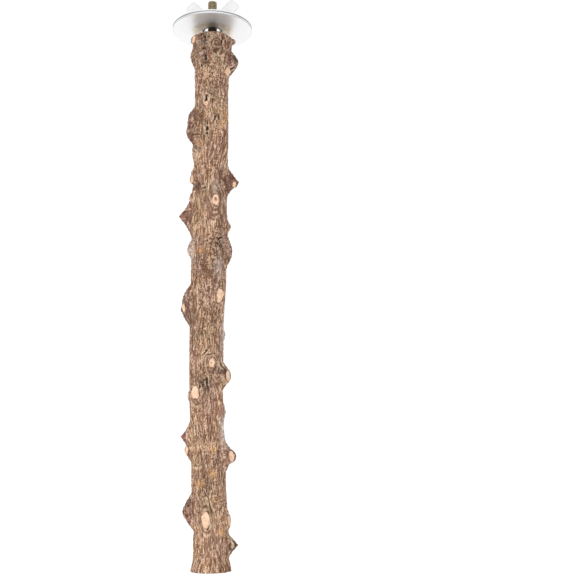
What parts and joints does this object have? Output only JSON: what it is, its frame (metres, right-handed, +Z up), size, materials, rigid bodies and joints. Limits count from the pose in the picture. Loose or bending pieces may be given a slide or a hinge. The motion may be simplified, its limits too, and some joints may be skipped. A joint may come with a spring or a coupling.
{
  "type": "bird perch",
  "caption": "Knobbly bark-covered branch with a hanger bolt in one sawn end, and two wide washers and a wing nut that clamp it to the side of a wire cage.",
  "frame": {"origin": "centre of the branch's sawn end that the bolt leaves", "axes": "+Y along the bolt, out of the branch and towards the cage; +Z up as the perch is mounted; +X to the right as seen from inside the cage"},
  "size_m": [0.05, 0.3474, 0.05],
  "materials": {
    "sawn_wood": "dry sawn end grain",
    "bark": "rough ridged bark, matt",
    "cut_twig": "smooth sawn wood",
    "yellow_zinc": "yellow zinc plate, worn",
    "bright_zinc": "bright zinc plate, satin",
    "cast_zinc": "bright zinc plate on a cast nut"
  },
  "bodies": {
    "branch": {"wood_core": "sawn_wood", "bark": "bark", "twig_stubs": "cut_twig", "hanger_bolt": "yellow_zinc"},
    "inner_washer": {"inner_washer": "bright_zinc"},
    "outer_washer": {"outer_washer": "bright_zinc"},
    "wing_nut": {"wing_nut": "cast_zinc"}
  },
  "joints": [
    {"name": "inner_washer_slide", "type": "slide", "parent": "branch", "child": "inner_washer", "axis": [0, 1, 0], "range_m": [-0.006, 0]},
    {"name": "outer_washer_slide", "type": "slide", "parent": "branch", "child": "outer_washer", "axis": [0, 1, 0], "range_m": [0, 0.017]},
    {"name": "nut_turn", "type": "hinge", "parent": "outer_washer", "child": "wing_nut", "pos_m": [0, 0.012, 0], "axis": [0, 1, 0], "range_deg": [0, 6120]}
  ],
  "couplings": [
    {"joint": "nut_turn", "follows": "outer_washer_slide", "rad_per_m": 6283.2}
  ]
}
